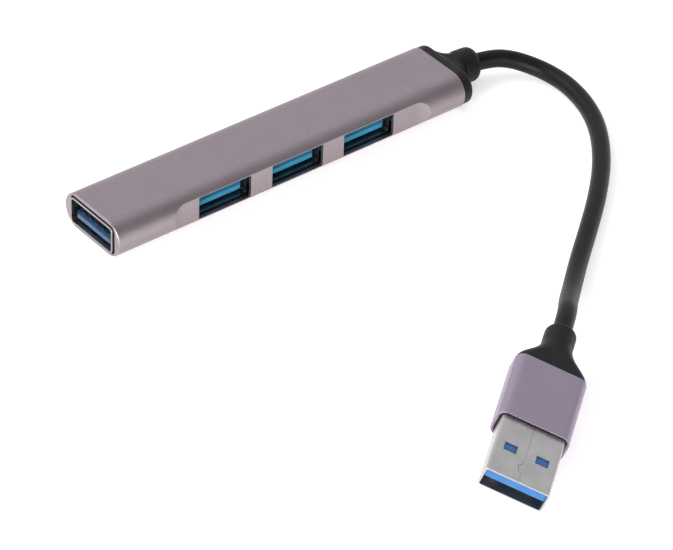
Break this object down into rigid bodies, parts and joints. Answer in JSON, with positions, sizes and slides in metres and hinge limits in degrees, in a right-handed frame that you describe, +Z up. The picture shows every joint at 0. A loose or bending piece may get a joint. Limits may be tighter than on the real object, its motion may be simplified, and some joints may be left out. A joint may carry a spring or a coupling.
{
  "type": "usb hub",
  "caption": "Slim aluminium USB hub with a socket in its end, sockets along one side, and a short lead that ends in a USB-A plug.",
  "frame": {"origin": "on the resting surface, under the middle of the body, measured from the end socket's rim to the end of the lead's collar", "axes": "+X along the body towards the lead, -Y out of the side with three sockets, +Z up"},
  "size_m": [0.1058, 0.1179, 0.0108],
  "materials": {
    "anodised_aluminium": "bead-blasted, anodised grey, satin",
    "plug_aluminium": "bead-blasted, anodised grey, satin",
    "socket_steel": "stamped, tin plated, satin",
    "plug_steel": "stamped, nickel plated, satin",
    "end_insulator_blue": "moulded, glossy",
    "blue_insulator": "moulded, slightly glossy",
    "plug_insulator_blue": "moulded, slightly glossy",
    "gold_plated_contact": "gold plated",
    "black_plastic": "moulded, fine texture",
    "black_rubber": "moulded, soft satin",
    "lead_jacket": "extruded, soft satin",
    "ferrule_steel": "crimped tube",
    "board_laminate": "green solder mask",
    "chip_plastic": "moulded, matt",
    "crystal_can": "plain metal lid",
    "capacitor_ceramic": "tan ceramic with tinned ends",
    "resistor_body": "black film with tinned ends",
    "insulating_film": "amber polyimide",
    "power_wire_jacket": "red insulation",
    "data_wire_jacket": "white insulation"
  },
  "bodies": {
    "root": {"housing": "anodised_aluminium", "end_cap": "black_plastic", "strain_relief": "black_rubber", "cable_ferrule": "ferrule_steel", "circuit_board": "board_laminate", "controller_chip": "chip_plastic", "crystal": "crystal_can", "capacitors": "capacitor_ceramic", "resistors": "resistor_body", "insulating_film": "insulating_film", "power_wires": "power_wire_jacket", "data_wires": "data_wire_jacket", "end_socket_shell": "socket_steel", "end_socket_contacts": "gold_plated_contact", "end_socket_insulator": "end_insulator_blue", "side_socket_1_shell": "socket_steel", "side_socket_1_contacts": "gold_plated_contact", "side_socket_1_insulator": "blue_insulator", "side_socket_2_shell": "socket_steel", "side_socket_2_contacts": "gold_plated_contact", "side_socket_2_insulator": "blue_insulator", "side_socket_3_shell": "socket_steel", "side_socket_3_contacts": "gold_plated_contact", "side_socket_3_insulator": "blue_insulator", "cable": "lead_jacket", "plug_strain_relief": "black_rubber", "plug_sleeve": "plug_aluminium", "plug_inner_mould": "black_plastic", "plug_shell": "plug_steel", "plug_insulator": "plug_insulator_blue", "plug_contacts": "gold_plated_contact", "plug_wires": "data_wire_jacket"}
  },
  "joints": []
}
